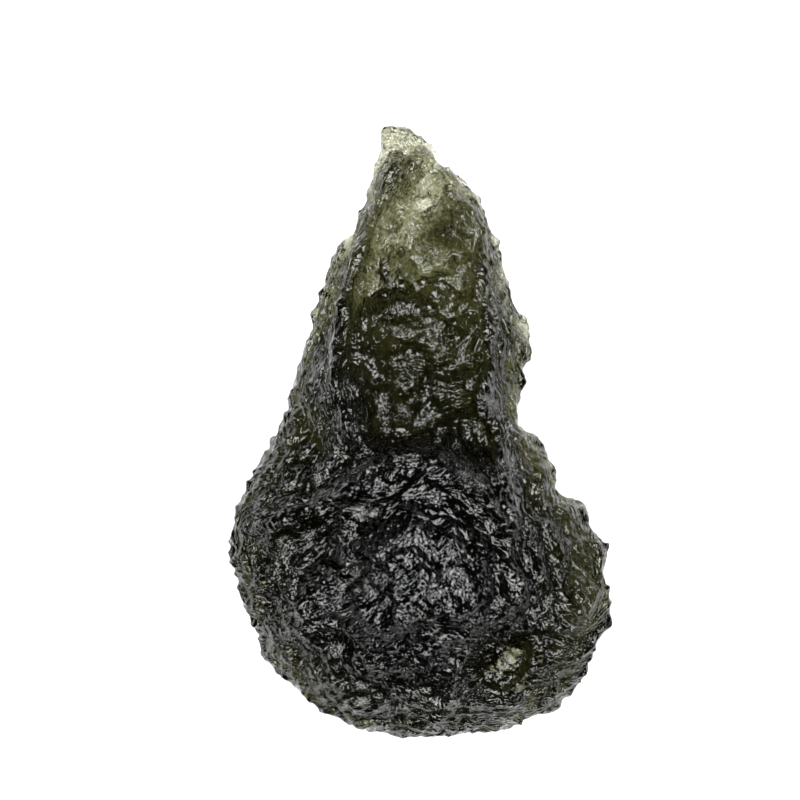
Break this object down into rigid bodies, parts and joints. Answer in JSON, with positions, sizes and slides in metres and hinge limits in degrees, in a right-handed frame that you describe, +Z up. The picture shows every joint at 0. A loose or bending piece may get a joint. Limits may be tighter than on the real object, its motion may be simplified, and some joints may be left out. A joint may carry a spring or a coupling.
{
  "type": "moldavite tektite",
  "caption": "Pear-shaped piece of olive natural glass with a thin tip and a deeply etched surface, lying on its back, for display.",
  "frame": {"origin": "on the surface the stone lies on, under the middle of its outline", "axes": "+Y along the stone towards its thin tip, +X to the right of its sculpted face, +Z up out of that face"},
  "size_m": [0.0198, 0.032, 0.0103],
  "materials": {
    "moldavite_glass": "natural olive glass, clear in thin places and nearly black in thick ones, with glossy etched bowls and frosted ridges"
  },
  "bodies": {
    "root": {"tektite": "moldavite_glass"}
  },
  "joints": []
}
